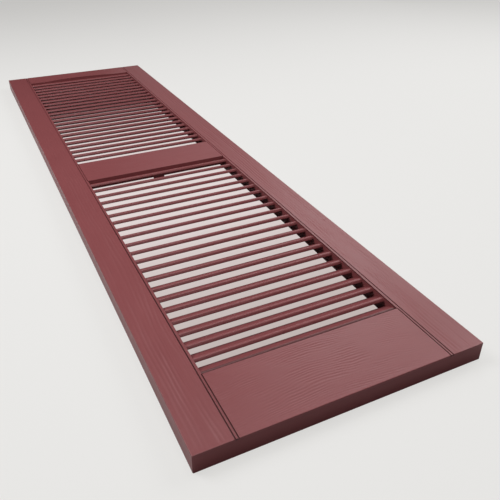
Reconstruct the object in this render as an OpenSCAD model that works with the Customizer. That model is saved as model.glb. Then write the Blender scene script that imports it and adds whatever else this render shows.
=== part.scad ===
// Open-louvre shutter, moulded in one piece: a hollow-backed frame of two
// stiles and three rails, with fixed louvres and an arched top rail.
// It lies face up: X across, Y from the bottom end to the top end, Z up,
// with the back rim on Z = 0 and the origin under the middle of the frame.

/* [Overall] */
// Width across both stiles
shutter_w = 368.3; // [300:0.1:460]
// Height from the bottom end to the top end
shutter_h = 1397; // [1100:1:1800]
// Thickness from the back rim to the face
shutter_t = 25; // [24:0.5:32]

/* [Frame] */
// Width of each stile, up to the opening
stile_w = 50; // [40:0.5:62]
// Height of the bottom rail
bottom_rail_h = 97.9; // [70:0.1:140]
// Height of the middle rail's lower edge above the bottom end
mid_rail_y = 649.5; // [450:0.5:720]
// Height of the middle rail
mid_rail_h = 84.7; // [60:0.1:110]
// Height of the top rail beside the arch
top_rail_h = 62.5; // [50:0.5:90]

/* [Arch] */
// How far the arch rises into the top rail
arch_rise = 11.5; // [8:0.5:30]
// Width of the arch between the ends of its shoulders
arch_span = 200; // [150:1:215]
// Radius of the rounded shoulders at the foot of the arch
arch_shoulder_r = 30; // [10:1:40]

/* [Louvres] */
// Spacing of the louvres
louvre_pitch = 25.62; // [21:0.02:34]
// Spacing of the first few louvres above each rail
foot_pitch = 24.4; // [21:0.05:34]
// How many spaces above each rail have the closer spacing
foot_count = 3; // [0:1:5]
// Length of a louvre's blade from its nose to its tail
blade_len = 25.3; // [18:0.1:28]
// Thickness of a blade at its nose
nose_t = 6; // [4.5:0.1:8]
// Thickness of a blade at its tail
tail_t = 2.7; // [2:0.1:4]
// Slope of a blade's upper surface, in degrees
blade_slope = 32; // [25:0.5:36]
// Depth of a nose's top corner below the face
nose_recess = 1.2; // [0.5:0.1:3]
// Radius on the nose's top corner
nose_top_r = 3.2; // [0.4:0.1:4.5]
// Radius on the nose's bottom corner
nose_bottom_r = 1; // [0.3:0.1:2.4]
// Radius on both corners of the tail
tail_r = 0.9; // [0.3:0.1:0.95]
// Width of the crease in the face between a rail's edge and the first nose above it
crease_w = 4.4; // [3:0.1:6]
// Depth of that crease
crease_depth = 3.5; // [2:0.1:4]
// Least height from the last nose to the rail above it
louvre_margin = 5; // [3:0.5:10]

/* [Shell] */
// Thickness of the moulded walls
wall_t = 2.6; // [2:0.1:3.4]
// Thickness of the ribs behind the face
rib_t = 1.8; // [1.2:0.1:2.4]
// Depth of the ribs below the face's inner side
rib_depth = 9; // [5:0.5:12]
// Widest spacing of the ribs along the stiles and rails
rib_pitch = 110; // [70:5:200]
// Depth, from the face, of the walls that close the rails towards the louvres
cross_wall_depth = 17.4; // [17.4:0.1:20]
// Width of the foot behind the middle of the middle rail
foot_w = 21; // [12:1:40]

/* [Edges and beads] */
// Radius on the face's outer edges
edge_r = 0.8; // [0.3:0.1:1.6]
// Radius on the four corners of the outline
corner_r = 1.2; // [0.5:0.1:3]
// Width of the bead between the rails and the stiles
bead_w = 3.7; // [2.6:0.1:8]
// Width of the grooves on both sides of the bead
groove_w = 1.5; // [0.8:0.1:2]
// Depth of those grooves
groove_depth = 1.8; // [0.4:0.1:1.8]
// Draft of the grooves' walls, in degrees
groove_draft = 10; // [2:0.5:12]

/* [Hidden] */
// Steps in the arc of a small rounded corner, and in each arc of the arch
corner_steps = 5;
shoulder_steps = 6;
crown_steps = 32;
// Overshoot of a cut past the surface that it opens
eps = 1;
// How far a louvre's ends sink into the walls that hold it
seat = wall_t / 2;
// How far the floor of a crease runs in under the first nose
tuck = 0.3;
open_half = shutter_w / 2 - stile_w;
lower_edge = bottom_rail_h;
lower_end = mid_rail_y;
upper_edge = mid_rail_y + mid_rail_h;
upper_end = shutter_h - top_rail_h;
face_under = shutter_t - wall_t;
rib_foot = face_under - rib_depth;
// Width of a crease at its floor, and the underside of the shelf below it
sill_w = crease_w - (crease_depth - nose_recess) * tan(blade_slope) + tuck;
shelf_under = shutter_t - crease_depth - wall_t;
groove_floor = groove_w - 2 * groove_depth * tan(groove_draft);
cross_wall_z = shutter_t - cross_wall_depth;
shoulder_x = arch_span / 2;
crown_r = (pow(shoulder_x, 2) + pow(arch_rise, 2)) / (2 * arch_rise) - arch_shoulder_r;
crown_angle = atan2(shoulder_x, crown_r + arch_shoulder_r - arch_rise);

// Points of an arc from angle a to angle b
function arc(centre, r, a, b, steps) =
    [for (i = [0:steps]) let (t = a + (b - a) * i / steps) centre + r * [cos(t), sin(t)]];

function unit(v) = v / norm(v);

// The corner at b of an outline that comes from a and goes to c, rounded to radius r
function corner(a, b, c, r) =
    let (
        u = unit(a - b),
        v = unit(c - b),
        half = acos(u * v) / 2,
        centre = b + unit(u + v) * r / sin(half),
        from = b + u * r / tan(half) - centre,
        to = b + v * r / tan(half) - centre,
        start = atan2(from.y, from.x),
        turn = (atan2(to.y, to.x) - start + 540) % 360 - 180
    )
    r > 0 ? arc(centre, r, start, start + turn, corner_steps) : [b];

// An outline with a radius for each of its corners
function rounded(points, radii) =
    let (n = len(points))
    [for (i = [0:n - 1]) each corner(points[(i + n - 1) % n], points[i], points[(i + 1) % n], radii[i])];

// Height of the nose of louvre k above a rail's edge
function nose_y(edge, k) =
    edge + crease_w + foot_pitch * min(k, foot_count) + louvre_pitch * max(k - foot_count, 0);

// Number of the last louvre that fits between a rail's edge and the next rail
function last_louvre(edge, end) =
    foot_count + floor((end - louvre_margin - nose_y(edge, foot_count)) / louvre_pitch);

// An arc of the arch, where grow moves the edge into the rail
function crown(y, grow) =
    arc([0, y + arch_rise - crown_r], crown_r + grow, 90 - crown_angle, 90 + crown_angle, crown_steps);

function shoulder(side, y, grow) =
    let (
        centre = [side * shoulder_x, y + arch_shoulder_r],
        foot = 270,
        top = 270 - side * crown_angle,
        r = arch_shoulder_r - grow
    )
    side > 0 ? arc(centre, r, foot, top, shoulder_steps) : arc(centre, r, top, foot, shoulder_steps);

// The opening between a rail's edge and the next rail, where sill is how far it starts above the edge
module opening(edge, end, sill, grow, arched) {
    side = open_half + grow;
    start = edge + sill - grow;
    arch_points = arched ? concat(shoulder(1, end, grow), crown(end, grow), shoulder(-1, end, grow)) : [];
    polygon(concat(
        [[-side, start], [side, start], [side, end + grow]],
        arch_points,
        [[-side, end + grow]]
    ));
}

module both_openings(sill, grow = 0) {
    opening(lower_edge, lower_end, sill, grow, false);
    opening(upper_edge, upper_end, sill, grow, true);
}

// A block with rounded edges around its face and down its four corners
module slab() {
    half = shutter_w / 2;
    intersection() {
        translate([-half, 0, 0]) rotate([90, 0, 90]) linear_extrude(shutter_w)
            polygon(rounded(
                [[0, 0], [shutter_h, 0], [shutter_h, shutter_t], [0, shutter_t]],
                [0, 0, edge_r, edge_r]
            ));
        translate([0, shutter_h, 0]) rotate([90, 0, 0]) linear_extrude(shutter_h)
            polygon(rounded(
                [[-half, 0], [half, 0], [half, shutter_t], [-half, shutter_t]],
                [0, 0, edge_r, edge_r]
            ));
        linear_extrude(shutter_t)
            polygon(rounded(
                [[-half, 0], [half, 0], [half, shutter_h], [-half, shutter_h]],
                [corner_r, corner_r, corner_r, corner_r]
            ));
    }
}

// Bays between ribs, along a length: each child is one bay of size bay
module bays(length) {
    count = ceil(length / rib_pitch);
    bay = (length - (count - 1) * rib_t) / count;
    for (i = [0:count - 1]) {
        translate([0, i * (bay + rib_t), rib_foot]) cube([stile_w - 2 * wall_t, bay, rib_depth]);
    }
}

// The hollow behind one stile
module stile_hollow() {
    length = shutter_h - 2 * wall_t;
    translate([open_half + wall_t, wall_t, 0]) {
        translate([0, 0, -eps]) cube([stile_w - 2 * wall_t, length, rib_foot + eps]);
        bays(length);
    }
}

// Ribs that run along the shutter behind the rails
module rail_ribs() {
    count = ceil(2 * open_half / rib_pitch);
    bay = 2 * open_half / count;
    for (i = [1:count - 1]) {
        translate([-open_half + i * bay - rib_t / 2, 0]) square([rib_t, shutter_h]);
    }
}

// The plan of the hollows behind the three rails
module rail_plan(sill) {
    difference() {
        translate([-open_half, wall_t]) square([2 * open_half, shutter_h - 2 * wall_t]);
        both_openings(sill, wall_t);
    }
}

module rail_hollows() {
    difference() {
        translate([0, 0, cross_wall_z]) {
            linear_extrude(shelf_under - cross_wall_z) rail_plan(sill_w);
            linear_extrude(face_under - cross_wall_z) rail_plan(0);
        }
        translate([0, 0, rib_foot]) linear_extrude(rib_depth + eps) rail_ribs();
    }
    // Behind the louvres and their walls the back is open between the stiles
    difference() {
        translate([-open_half, wall_t, -eps])
            cube([2 * open_half, shutter_h - 2 * wall_t, cross_wall_z + eps]);
        translate([-foot_w / 2, mid_rail_y, -eps])
            cube([foot_w, wall_t, cross_wall_z + eps]);
    }
}

// The crease between a rail's edge and the first nose above it
module crease(edge) {
    translate([-open_half, edge, shutter_t - crease_depth])
        cube([2 * open_half, sill_w + eps, crease_depth + eps]);
}

// A groove in the face, along Y, with drafted walls
module groove(x, start, end) {
    translate([x, end, shutter_t]) rotate([90, 0, 0]) linear_extrude(end - start)
        polygon([
            [-groove_w / 2, 0],
            [-groove_floor / 2, -groove_depth],
            [groove_floor / 2, -groove_depth],
            [groove_w / 2, 0],
            [groove_w / 2, eps],
            [-groove_w / 2, eps]
        ]);
}

// The grooves that mark the bead beside one stile
module bead_grooves() {
    inner_x = open_half + groove_w / 4;
    groove(inner_x + bead_w, -eps, shutter_h + eps);
    groove(inner_x, -eps, lower_edge);
    groove(inner_x, lower_end, upper_edge);
    groove(inner_x, upper_end, shutter_h + eps);
}

module frame() {
    difference() {
        slab();
        translate([0, 0, -eps]) linear_extrude(shutter_t + 2 * eps) both_openings(sill_w);
        crease(lower_edge);
        crease(upper_edge);
        for (side = [0, 1]) {
            mirror([side, 0, 0]) {
                stile_hollow();
                bead_grooves();
            }
        }
        rail_hollows();
    }
}

// One louvre: a blade that tapers from its rounded nose to its tail
module blade() {
    along = [cos(blade_slope), -sin(blade_slope)];
    down = [-sin(blade_slope), -cos(blade_slope)];
    nose = [0, shutter_t - nose_recess];
    tail = nose + blade_len * along;
    length = 2 * (open_half + seat);
    translate([-length / 2, 0, 0]) rotate([90, 0, 90]) linear_extrude(length)
        polygon(rounded(
            [nose, nose + nose_t * down, tail + tail_t * down, tail],
            [nose_top_r, nose_bottom_r, tail_r, tail_r]
        ));
}

// The louvres of one opening, from the half-sunk one at the rail's edge upwards
module louvres(edge, end, arched) {
    intersection() {
        union() {
            for (k = [0:last_louvre(edge, end)]) {
                translate([0, nose_y(edge, k), 0]) blade();
            }
        }
        linear_extrude(shutter_t) opening(edge, end, sill_w, seat, arched);
    }
}

module shutter() {
    color("#7d4346") translate([0, -shutter_h / 2, 0]) {
        frame();
        louvres(lower_edge, lower_end, false);
        louvres(upper_edge, upper_end, true);
    }
}

shutter();
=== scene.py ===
"""An open-louvre window shutter, moulded in one piece and lying face up on a pale floor.

The moulding comes from the frame as one node. Here a copy of it stands for that node: its
stiles and rails get the embossed wood grain as real relief, and the whole moulding gets its
satin burgundy plastic.
"""
from math import cos, exp, floor as whole, radians, sin

import bmesh
import bpy
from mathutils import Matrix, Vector, noise


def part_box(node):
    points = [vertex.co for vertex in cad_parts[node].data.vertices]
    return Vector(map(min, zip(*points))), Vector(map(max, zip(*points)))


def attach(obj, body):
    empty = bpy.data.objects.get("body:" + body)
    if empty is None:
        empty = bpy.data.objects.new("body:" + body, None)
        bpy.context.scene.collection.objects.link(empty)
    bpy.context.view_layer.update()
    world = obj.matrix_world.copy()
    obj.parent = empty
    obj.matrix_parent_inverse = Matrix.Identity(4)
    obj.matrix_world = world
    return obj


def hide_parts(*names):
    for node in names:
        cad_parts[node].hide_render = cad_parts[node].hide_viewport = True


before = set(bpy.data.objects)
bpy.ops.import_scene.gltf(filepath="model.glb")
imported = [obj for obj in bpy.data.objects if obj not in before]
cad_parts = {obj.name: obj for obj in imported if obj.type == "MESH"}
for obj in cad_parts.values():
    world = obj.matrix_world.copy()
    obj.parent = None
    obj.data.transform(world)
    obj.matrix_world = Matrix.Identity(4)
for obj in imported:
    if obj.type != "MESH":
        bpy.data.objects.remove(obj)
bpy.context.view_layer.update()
LOW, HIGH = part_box("shutter")
MM = 0.001

# Camera: 42 mm lens on a 36 mm sensor, level, looking along and down over the shutter
CAMERA_PLACE = Vector((-0.29406, -1.04892, 0.48183))
CAMERA_TURN = radians(26.056)
CAMERA_DIP = radians(31.995)
CAMERA_LENS_MM = 41.96
SENSOR_MM = 36.0

# The lights, in metres
LIT_MIDDLE = Vector((0, -0.2, 0))
REACH = 2.2
SOFTBOX = 1.2
WORLD_LIGHT = 0.01

# The floor's colours, and the light that it seems to give off to the lens: painted light, dimmer far off
# and, as painted shade, under the shutter
PAPER = (0.75, 0.74, 0.73)
# PAPER_SHADED is paper darkened by painted shade, for all rays but the lens's
PAPER_SHADED = (0.30, 0.29, 0.285)
PAPER_SEEN = (0.17, 0.17, 0.17)
LIFT = (0.645, 0.638, 0.622)
LIFT_FAR = (0.10, 0.09, 0.085)
LIFT_UNDER_NEAR = (0.50, 0.432, 0.41)
LIFT_UNDER_AWAY = (0.735, 0.657, 0.645)

# Where the floor changes, in metres: each pair is where a change starts and where it is full
FLOOR_SIZE = 30
UNDER_RIM = (15 * MM, 35 * MM)
UNDER_ALONG = (-0.68, -0.10)
FALLOFF = (0.2, 2.2)
FALLOFF_SHARE = 0.25
# Where the paper's painted shade lies: before the near end, and past the near left corner
END_SIDE = 60 * MM
END_FRONT = (140 * MM, 90 * MM)
END_BACK = 2 * MM
CORNER_FADE = 45 * MM
CORNER_SHARE = 0.35

# The flat fields of the face: the stiles' outer fields and the three rails
STILE_IN, STILE_OUT = 138.7 * MM, 183.4 * MM
RAIL_HALF = 133.9 * MM
BOTTOM_RAIL = (-698.5 * MM, -600.6 * MM)
MIDDLE_RAIL = (-49 * MM, 35.7 * MM)
TOP_RAIL = (636 * MM, 698.5 * MM)
ARCH_TOP = 648 * MM
BEAD_IN, BEAD_OUT = 133.6 * MM, 139.1 * MM
GROOVE_DEPTH = 1.8 * MM
CREASE_WIDTH = 7 * MM

# The plastic: its colour, and the shares of it in the mottle's darks and lights and in the painted shade
BURGUNDY = (0.240, 0.0652, 0.0690)
DARK, LIGHT, PAINTED_SHADE_SHARE = 0.90, 1.10, 0.5
SATIN = 0.36
MOTTLE_SHEEN, CLOUD_SHEEN = 0.14, 0.08
NOISE_MIDDLE = 0.5
CLOUD_TONE, MOTTLE_TONE, PORE_TONE = 0.5, 0.35, 0.5
ALONG_GRAIN = 0.045
SAND_SHARE = 0.25
BUMP_STRENGTH, BUMP_HEIGHT = 0.35, 0.06 * MM

# Where the plastic changes: depths are below the face, and pairs are where a change starts and is full
HAIR = 0.1 * MM
PORES_DEPTH = (0.6 * MM, 0.25 * MM)
STILE_PORES = (136 * MM, 137 * MM)
# Painted shade on the beads: full in the grooves from SUNK_DEPTH down, and BEAD_SHADE of it on the bead
# tops, in the near half only
GROOVE_SLACK = 0.3 * MM
SUNK_DEPTH = (0.03 * MM, 0.3 * MM)
BEAD_SHADE = 0.2
BEAD_SHADE_ALONG = (0.0, -0.3)
# Painted shade on the louvres' nose fronts, in the creases behind the bottom and middle rails
CREASE_CORE = 0.8
CREASE_END = (1.4 * MM, 0.4 * MM)
CREASE_TOP = (1.3 * MM, 2.4 * MM)
CREASE_BOTTOM = (7 * MM, 6 * MM)

# The grain, in mm: pitch and depth of its furrows, and their width as a share of the pitch
FURROW, FINE_FURROW = 0.26, 0.25
RAIL_PITCH, RAIL_DEPTH = 3.6, 0.26
RAIL_FINE_PITCH, RAIL_FINE_DEPTH = 1.4, 0.05
RAIL_SWAY, RAIL_RIPPLE = 4.2, 1.5
ARCH_MIDDLE, ARCH_BEND, ARCH_LEAN = -8, 0.0011, 0.03
STILE_PITCH, STILE_DEPTH = 5.2, 0.34
STILE_FINE_PITCH, STILE_FINE_DEPTH = 2.3, 0.12
STILE_SWAY, STILE_RIPPLE = 7.0, 2.0

# The grained fields' meshes: steps across and along the shutter, plain border, and run-in of the relief
STILE_STEP = (0.9 * MM, 4.5 * MM)
RAIL_STEP = (4 * MM, 0.55 * MM)
BORDER = 1.2 * MM
FADE = 4 * MM

# What counts as facing straight out, as one flat wall and as a sharp edge
FLAT = 0.9999
FLAT_ANGLE = radians(0.1)
SHARP_ANGLE = radians(32)


class Socket:
    """A socket of a node, on which Python's operators add Math nodes."""

    def __init__(self, graph, socket):
        self.graph, self.socket = graph, socket

    def math(self, operation, *values):
        return self.graph.add("Math", {"operation": operation}, dict(enumerate(values)))

    def __abs__(self):
        return self.math("ABSOLUTE", self)

    def __add__(self, other):
        return self.math("ADD", self, other)

    def __radd__(self, other):
        return self.math("ADD", other, self)

    def __sub__(self, other):
        return self.math("SUBTRACT", self, other)

    def __rsub__(self, other):
        return self.math("SUBTRACT", other, self)

    def __mul__(self, other):
        return self.math("MULTIPLY", self, other)

    def __rmul__(self, other):
        return self.math("MULTIPLY", other, self)


class Graph:
    """The nodes of one material."""

    def __init__(self, name):
        self.material = bpy.data.materials.new(name)
        self.material.use_nodes = True
        self.nodes = self.material.node_tree.nodes
        self.links = self.material.node_tree.links
        self.nodes.clear()

    def add(self, kind, settings=None, inputs=None, out=0):
        node = self.nodes.new("ShaderNode" + kind)
        for name, value in (settings or {}).items():
            setattr(node, name, value)
        for key, value in (inputs or {}).items():
            if isinstance(value, Socket):
                self.links.new(value.socket, node.inputs[key])
            else:
                node.inputs[key].default_value = value
        return Socket(self, node.outputs[out]) if node.outputs else None

    def mix(self, factor, first, second):
        """first where factor is 0 and second where it is 1, for colours."""
        return self.add("Mix", {"data_type": "RGBA"}, {0: factor, 6: first, 7: second}, 2)

    def ramp(self, value, start, end):
        """Rises smoothly from 0 at start to 1 at end."""
        return self.add("MapRange", {"interpolation_type": "SMOOTHSTEP"}, {0: value, 1: start, 2: end})

    def noise(self, place, scale, detail):
        return self.add("TexNoise", None, {"Vector": place, "Scale": scale, "Detail": detail})

    def stretch(self, place, scale):
        return self.add("VectorMath", {"operation": "MULTIPLY"}, {0: place, 1: scale})


def camera():
    data = bpy.data.cameras.new("camera")
    data.lens = CAMERA_LENS_MM
    data.sensor_width = SENSOR_MM
    data.clip_start = 0.01
    obj = bpy.data.objects.new("camera", data)
    bpy.context.scene.collection.objects.link(obj)
    obj.location = CAMERA_PLACE
    obj.rotation_euler = (radians(90) - CAMERA_DIP, 0, -CAMERA_TURN)
    bpy.context.scene.camera = obj


def floor_finish():
    """Pale paper, which seems to the lens to be lit a little from within, so that its shadows stay light.
    This glow is painted light; it is a little dimmer towards the far side, and under the shutter it is
    dimmed as painted shade, most at the near end.

    All other rays meet plain paper with painted shade: darker before the near end and, less so, under
    the shutter, to the right of it and past its far end.
    """
    graph = Graph("floor paper")
    place = graph.add("TexCoord", None, None, "Object")
    x = graph.add("SeparateXYZ", None, {0: place}, "X")
    y = graph.add("SeparateXYZ", None, {0: place}, "Y")
    # Under the shutter the glow is dimmed as painted shade, most at the near end; elsewhere it dims a
    # little towards the far side as painted falloff of light
    under = graph.ramp(abs(x), HIGH.x - UNDER_RIM[0], HIGH.x - UNDER_RIM[1]) \
        * graph.ramp(abs(y), HIGH.y - UNDER_RIM[0], HIGH.y - UNDER_RIM[1])
    along = graph.ramp(y, *UNDER_ALONG)
    below = graph.mix(along, (*LIFT_UNDER_NEAR, 1), (*LIFT_UNDER_AWAY, 1))
    open_floor = graph.mix(graph.ramp(y, *FALLOFF) * FALLOFF_SHARE, (*LIFT, 1), (*LIFT_FAR, 1))
    seen = graph.add("BsdfPrincipled", None, {
        "Base Color": (*PAPER_SEEN, 1),
        "Roughness": 1.0,
        "Specular IOR Level": 0.0,
        "Emission Color": graph.mix(under, open_floor, below),
        "Emission Strength": 1.0,
    })
    # Painted shade on the paper that other rays meet: full before the near end, a share under the shutter,
    # right of it and past its far end
    before_end = graph.ramp(abs(x), HIGH.x + END_SIDE, HIGH.x) \
        * graph.ramp(y, LOW.y - END_FRONT[0], LOW.y - END_FRONT[1]) \
        * graph.ramp(y, LOW.y + END_BACK, LOW.y)
    past_corner = graph.ramp(x, LOW.x - CORNER_FADE, LOW.x) \
        * graph.ramp(y, LOW.y - CORNER_FADE, LOW.y) * CORNER_SHARE
    shaded = before_end + past_corner * (1 - before_end)
    paper = graph.add("BsdfDiffuse", None, {"Color": graph.mix(shaded, (*PAPER, 1), (*PAPER_SHADED, 1))})
    to_lens = graph.add("LightPath", None, None, "Is Camera Ray")
    graph.add("OutputMaterial", None, {0: graph.add("MixShader", None, {0: to_lens, 1: paper, 2: seen})})
    return graph.material


def floor():
    bpy.ops.object.select_all(action="DESELECT")
    bpy.ops.mesh.primitive_plane_add(size=FLOOR_SIZE, location=(0, 0, LOW.z))
    obj = bpy.context.object
    obj.name = "floor"
    obj.data.materials.append(floor_finish())


def soft_light(name, place, aim, size, power):
    data = bpy.data.lights.new(name, "AREA")
    data.shape = "DISK"
    data.size = size
    data.energy = power
    obj = bpy.data.objects.new(name, data)
    bpy.context.scene.collection.objects.link(obj)
    obj.location = place
    obj.rotation_euler = (Vector(aim) - Vector(place)).to_track_quat("-Z", "Y").to_euler()


def around(azimuth, height):
    """A place round the middle of the lit area, with angles in degrees and azimuth 0 along +Y."""
    turn, lift = radians(azimuth), radians(height)
    return LIT_MIDDLE + REACH * Vector((sin(turn) * cos(lift), cos(turn) * cos(lift), sin(lift)))


def studio():
    world = bpy.data.worlds.new("studio")
    bpy.context.scene.world = world
    world.use_nodes = True
    background = world.node_tree.nodes["Background"]
    background.inputs["Color"].default_value = (1, 1, 1, 1)
    background.inputs["Strength"].default_value = WORLD_LIGHT
    soft_light("back left", around(300, 52), LIT_MIDDLE, size=SOFTBOX, power=32)
    soft_light("right", around(90, 38), LIT_MIDDLE, size=SOFTBOX, power=17.2)
    soft_light("back right", around(45, 38), LIT_MIDDLE, size=SOFTBOX, power=7.4)
    soft_light("front", (-0.2, -2.4, 1.4), (0, 0, 0), size=1.0, power=7.3)
    soft_light("over the near half", (0.03, -0.42, 1.1), (0.03, -0.42, 0), size=0.7, power=3.0)
    soft_light("far wall", around(30, 14), LIT_MIDDLE, size=1.6, power=1.6)
    bpy.context.scene.view_settings.view_transform = "Standard"


# A tone of the burgundy at the given share of its colour, for the mottle's darks and lights and for the
# painted shade
def shade(share):
    return (*(share * c for c in BURGUNDY), 1)


def plastic():
    """Burgundy plastic, coloured right through, with a satin mould finish and fine grain pores.

    Shade is painted into the colour in the creases behind the rails and, in the near half, along the beads.
    """
    graph = Graph("burgundy plastic")
    place = graph.add("TexCoord", None, None, "Object")
    across = abs(graph.add("SeparateXYZ", None, {0: place}, "X"))
    along = graph.add("SeparateXYZ", None, {0: place}, "Y")
    depth = graph.add("SeparateXYZ", None, {0: place}, "Z")

    def at_depth(start, full):
        """Rises from 0 at start to 1 at full, both measured down from the face."""
        return graph.ramp(depth, HIGH.z - start, HIGH.z - full)

    def crease(edge):
        return graph.ramp(along, edge, edge + HAIR) \
            * graph.ramp(along, edge + CREASE_WIDTH, edge + CREASE_CORE * CREASE_WIDTH)

    on_face = at_depth(*PORES_DEPTH)
    on_stile = graph.ramp(across, *STILE_PORES)
    # Masks for the painted shade on the bead band and in the creases
    at_bead = graph.ramp(across, BEAD_IN - HAIR, BEAD_IN) * graph.ramp(across, BEAD_OUT + HAIR, BEAD_OUT) \
        * at_depth(GROOVE_DEPTH + GROOVE_SLACK, GROOVE_DEPTH + HAIR)
    at_crease = (crease(BOTTOM_RAIL[1]) + crease(MIDDLE_RAIL[1])) \
        * graph.ramp(across, RAIL_HALF + CREASE_END[0], RAIL_HALF + CREASE_END[1]) \
        * at_depth(*CREASE_TOP) * at_depth(*CREASE_BOTTOM)
    sunk = at_depth(*SUNK_DEPTH)
    clouds = graph.noise(place, scale=14.0, detail=3.0)
    mottle = graph.noise(place, scale=160.0, detail=3.0)
    stile_pores = graph.noise(graph.stretch(place, (1.0, ALONG_GRAIN, 1.0)), scale=900.0, detail=2.0)
    rail_pores = graph.noise(graph.stretch(place, (ALONG_GRAIN, 1.0, 1.0)), scale=900.0, detail=2.0)
    pores = rail_pores * (1 - on_stile) + stile_pores * on_stile
    sand = graph.noise(place, scale=2600.0, detail=2.0)
    tone = (clouds - NOISE_MIDDLE) * CLOUD_TONE + (mottle - NOISE_MIDDLE) * MOTTLE_TONE \
        + (pores - NOISE_MIDDLE) * on_face * PORE_TONE + NOISE_MIDDLE
    # Painted shade: full in the bead grooves and on the nose fronts in the creases, BEAD_SHADE of it on the
    # bead tops, the beads in the near half only
    painted_shade = at_bead * (BEAD_SHADE + sunk * (1 - BEAD_SHADE)) \
        * graph.ramp(along, *BEAD_SHADE_ALONG) + at_crease
    colour = graph.mix(painted_shade, graph.mix(tone, shade(DARK), shade(LIGHT)), shade(PAINTED_SHADE_SHARE))
    texture = sand * SAND_SHARE + pores * on_face
    bump = graph.add("Bump", None, {"Strength": BUMP_STRENGTH, "Distance": BUMP_HEIGHT, "Height": texture})
    shader = graph.add("BsdfPrincipled", None, {
        "Base Color": colour,
        "Roughness": SATIN + (mottle - NOISE_MIDDLE) * MOTTLE_SHEEN + (clouds - NOISE_MIDDLE) * CLOUD_SHEEN,
        "Normal": bump,
    })
    graph.add("OutputMaterial", None, {0: shader})
    return graph.material


def clamp(t):
    return max(0.0, min(1.0, t))


def ease(t):
    """Rises smoothly from 0 at 0 to 1 at 1."""
    t = clamp(t)
    return t * t * (3 - 2 * t)


def waves(u, v, seed, length, width):
    return noise.noise(Vector((u / length, v / width, seed)))


def patches(u, v, seed, mean, swing, length, width):
    """Between 0 and 1: where a furrow fades out and where it is at its deepest."""
    return clamp(mean + swing * waves(u, v, seed, length, width))


def groove(phase, width):
    """A narrow furrow once per unit of phase."""
    off = (phase - whole(phase) - 0.5) / width
    return exp(-off * off)


def rail_grain(u, v, seed):
    """Depth in mm of the grain at u along the rail and v across it: flat arches, side by side."""
    bowed = v + ARCH_BEND * (u - ARCH_MIDDLE) ** 2 + ARCH_LEAN * u
    bowed += RAIL_SWAY * waves(u, v, seed, length=55, width=30)
    bowed += RAIL_RIPPLE * waves(u, v, seed + 7, length=18, width=9)
    strong = patches(u, v, seed + 3, mean=0.55, swing=1.5, length=45, width=16)
    faint = patches(u, v, seed + 5, mean=0.5, swing=1.6, length=20, width=5)
    return RAIL_DEPTH * strong * groove(bowed / RAIL_PITCH, FURROW) \
        + RAIL_FINE_DEPTH * faint * groove(bowed / RAIL_FINE_PITCH, FINE_FURROW)


def stile_grain(u, v, seed):
    """Depth in mm of the grain at u along the stile and v across it: long, slowly waving streaks."""
    drift = v + STILE_SWAY * waves(u, v, seed, length=200, width=50)
    drift += STILE_RIPPLE * waves(u, v, seed + 7, length=60, width=14)
    strong = patches(u, v, seed + 3, mean=0.6, swing=1.5, length=120, width=9)
    faint = patches(u, v, seed + 5, mean=0.5, swing=1.6, length=45, width=4)
    return STILE_DEPTH * strong * groove(drift / STILE_PITCH, FURROW) \
        + STILE_FINE_DEPTH * faint * groove(drift / STILE_FINE_PITCH, FINE_FURROW)


def pick_face(obj, left, right, low, high):
    """Selects the flat faces at the front that lie within the given edges, and gives their two corners."""
    mesh = bmesh.from_edit_mesh(obj.data)
    slack = 0.01 * MM
    for face in mesh.faces:
        xs, ys, zs = zip(*(v.co for v in face.verts))
        face.select = (min(zs) > HIGH.z - slack and left - slack < min(xs) and max(xs) < right + slack
                       and low - slack < min(ys) and max(ys) < high + slack)
    bmesh.update_edit_mesh(obj.data)
    places = [v.co for f in mesh.faces if f.select for v in f.verts]
    return Vector(map(min, *places)), Vector(map(max, *places))


def field(obj, left, right, low, high, step, grain, seed):
    """Opens the flat face within the given edges and closes it with a finely divided, grained field."""
    bpy.ops.mesh.select_mode(type="FACE")
    start, end = pick_face(obj, left, right, low, high)
    bpy.ops.mesh.delete(type="FACE")
    border = Vector((BORDER, BORDER, 0))
    start, end = start + border, end - border
    size, middle = end - start, (start + end) / 2
    bpy.ops.mesh.primitive_grid_add(
        x_subdivisions=round(size.x / step[0]), y_subdivisions=round(size.y / step[1]),
        size=1, location=middle)
    bpy.ops.transform.resize(value=(size.x, size.y, 1), center_override=middle)
    mesh = bmesh.from_edit_mesh(obj.data)
    for vert in mesh.verts:
        if vert.select:
            x, y = vert.co.x, vert.co.y
            edge = min(x - start.x, end.x - x, y - start.y, end.y - y)
            vert.co.z -= MM * ease(edge / FADE) * grain(x / MM, y / MM, seed)
    bmesh.update_edit_mesh(obj.data)
    bpy.ops.mesh.select_mode(type="EDGE")
    bpy.ops.mesh.select_all(action="DESELECT")
    bpy.ops.mesh.select_non_manifold(
        extend=False, use_wire=False, use_boundary=True,
        use_multi_face=False, use_non_contiguous=False, use_verts=False)
    bpy.ops.mesh.fill(use_beauty=False)


def stile_field(obj, side, seed):
    edges = sorted((side * STILE_IN, side * STILE_OUT))
    field(obj, *edges, LOW.y, HIGH.y, STILE_STEP, lambda x, y, s: stile_grain(y, x, s), seed)


def rail_field(obj, low, high, seed):
    field(obj, -RAIL_HALF, RAIL_HALF, low, high, RAIL_STEP, rail_grain, seed)


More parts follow.
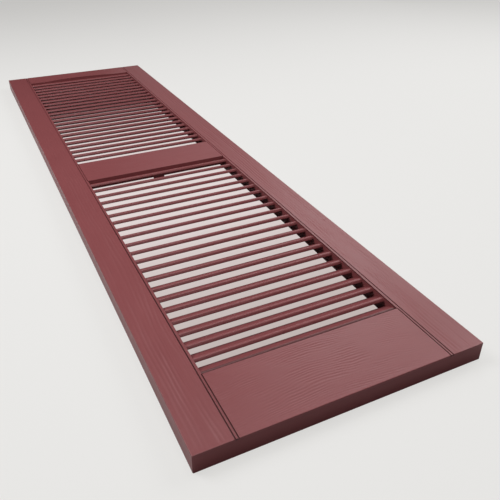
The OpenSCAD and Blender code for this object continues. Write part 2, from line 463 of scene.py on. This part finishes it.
def join_flat_walls(obj):
    """Makes one face of each flat wall, end and rim, as long thin triangles would tilt the shading."""
    mesh = bmesh.from_edit_mesh(obj.data)
    for face in mesh.faces:
        normal = face.normal
        face.select = max(abs(normal.x), abs(normal.y), -normal.z) > FLAT
    bmesh.update_edit_mesh(obj.data)
    bpy.ops.mesh.dissolve_limited(angle_limit=FLAT_ANGLE)


def moulding():
    """The whole shutter, with its grain as relief."""
    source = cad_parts["shutter"]
    obj = bpy.data.objects.new("moulding", source.data.copy())
    bpy.context.scene.collection.objects.link(obj)
    bpy.ops.object.select_all(action="DESELECT")
    obj.select_set(True)
    bpy.context.view_layer.objects.active = obj
    bpy.ops.object.mode_set(mode="EDIT")
    bpy.ops.mesh.select_mode(type="FACE")
    bpy.ops.mesh.select_all(action="SELECT")
    bpy.ops.mesh.remove_doubles(threshold=0.002 * MM)
    join_flat_walls(obj)
    stile_field(obj, side=-1, seed=11.3)
    stile_field(obj, side=1, seed=42.7)
    rail_field(obj, *BOTTOM_RAIL, seed=3.1)
    rail_field(obj, *MIDDLE_RAIL, seed=23.9)
    pick_face(obj, -RAIL_HALF, RAIL_HALF, *TOP_RAIL)
    bpy.ops.mesh.bisect(plane_co=(0, ARCH_TOP, 0), plane_no=(0, 1, 0))
    rail_field(obj, ARCH_TOP, HIGH.y, seed=61.5)
    bpy.ops.mesh.select_all(action="SELECT")
    bpy.ops.mesh.normals_make_consistent(inside=False)
    bpy.ops.mesh.select_all(action="DESELECT")
    bpy.ops.mesh.select_mode(type="EDGE")
    bpy.ops.mesh.edges_select_sharp(sharpness=SHARP_ANGLE)
    bpy.ops.mesh.mark_sharp()
    bpy.ops.object.mode_set(mode="OBJECT")
    bpy.ops.object.shade_smooth(keep_sharp_edges=True)
    bpy.ops.object.modifier_add(type="WEIGHTED_NORMAL")
    obj.modifiers[-1].keep_sharp = True
    bpy.ops.object.modifier_apply(modifier=obj.modifiers[-1].name)
    obj.data.materials.clear()
    obj.data.materials.append(plastic())
    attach(obj, "root")
    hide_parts("shutter")


camera()
floor()
studio()
moulding()
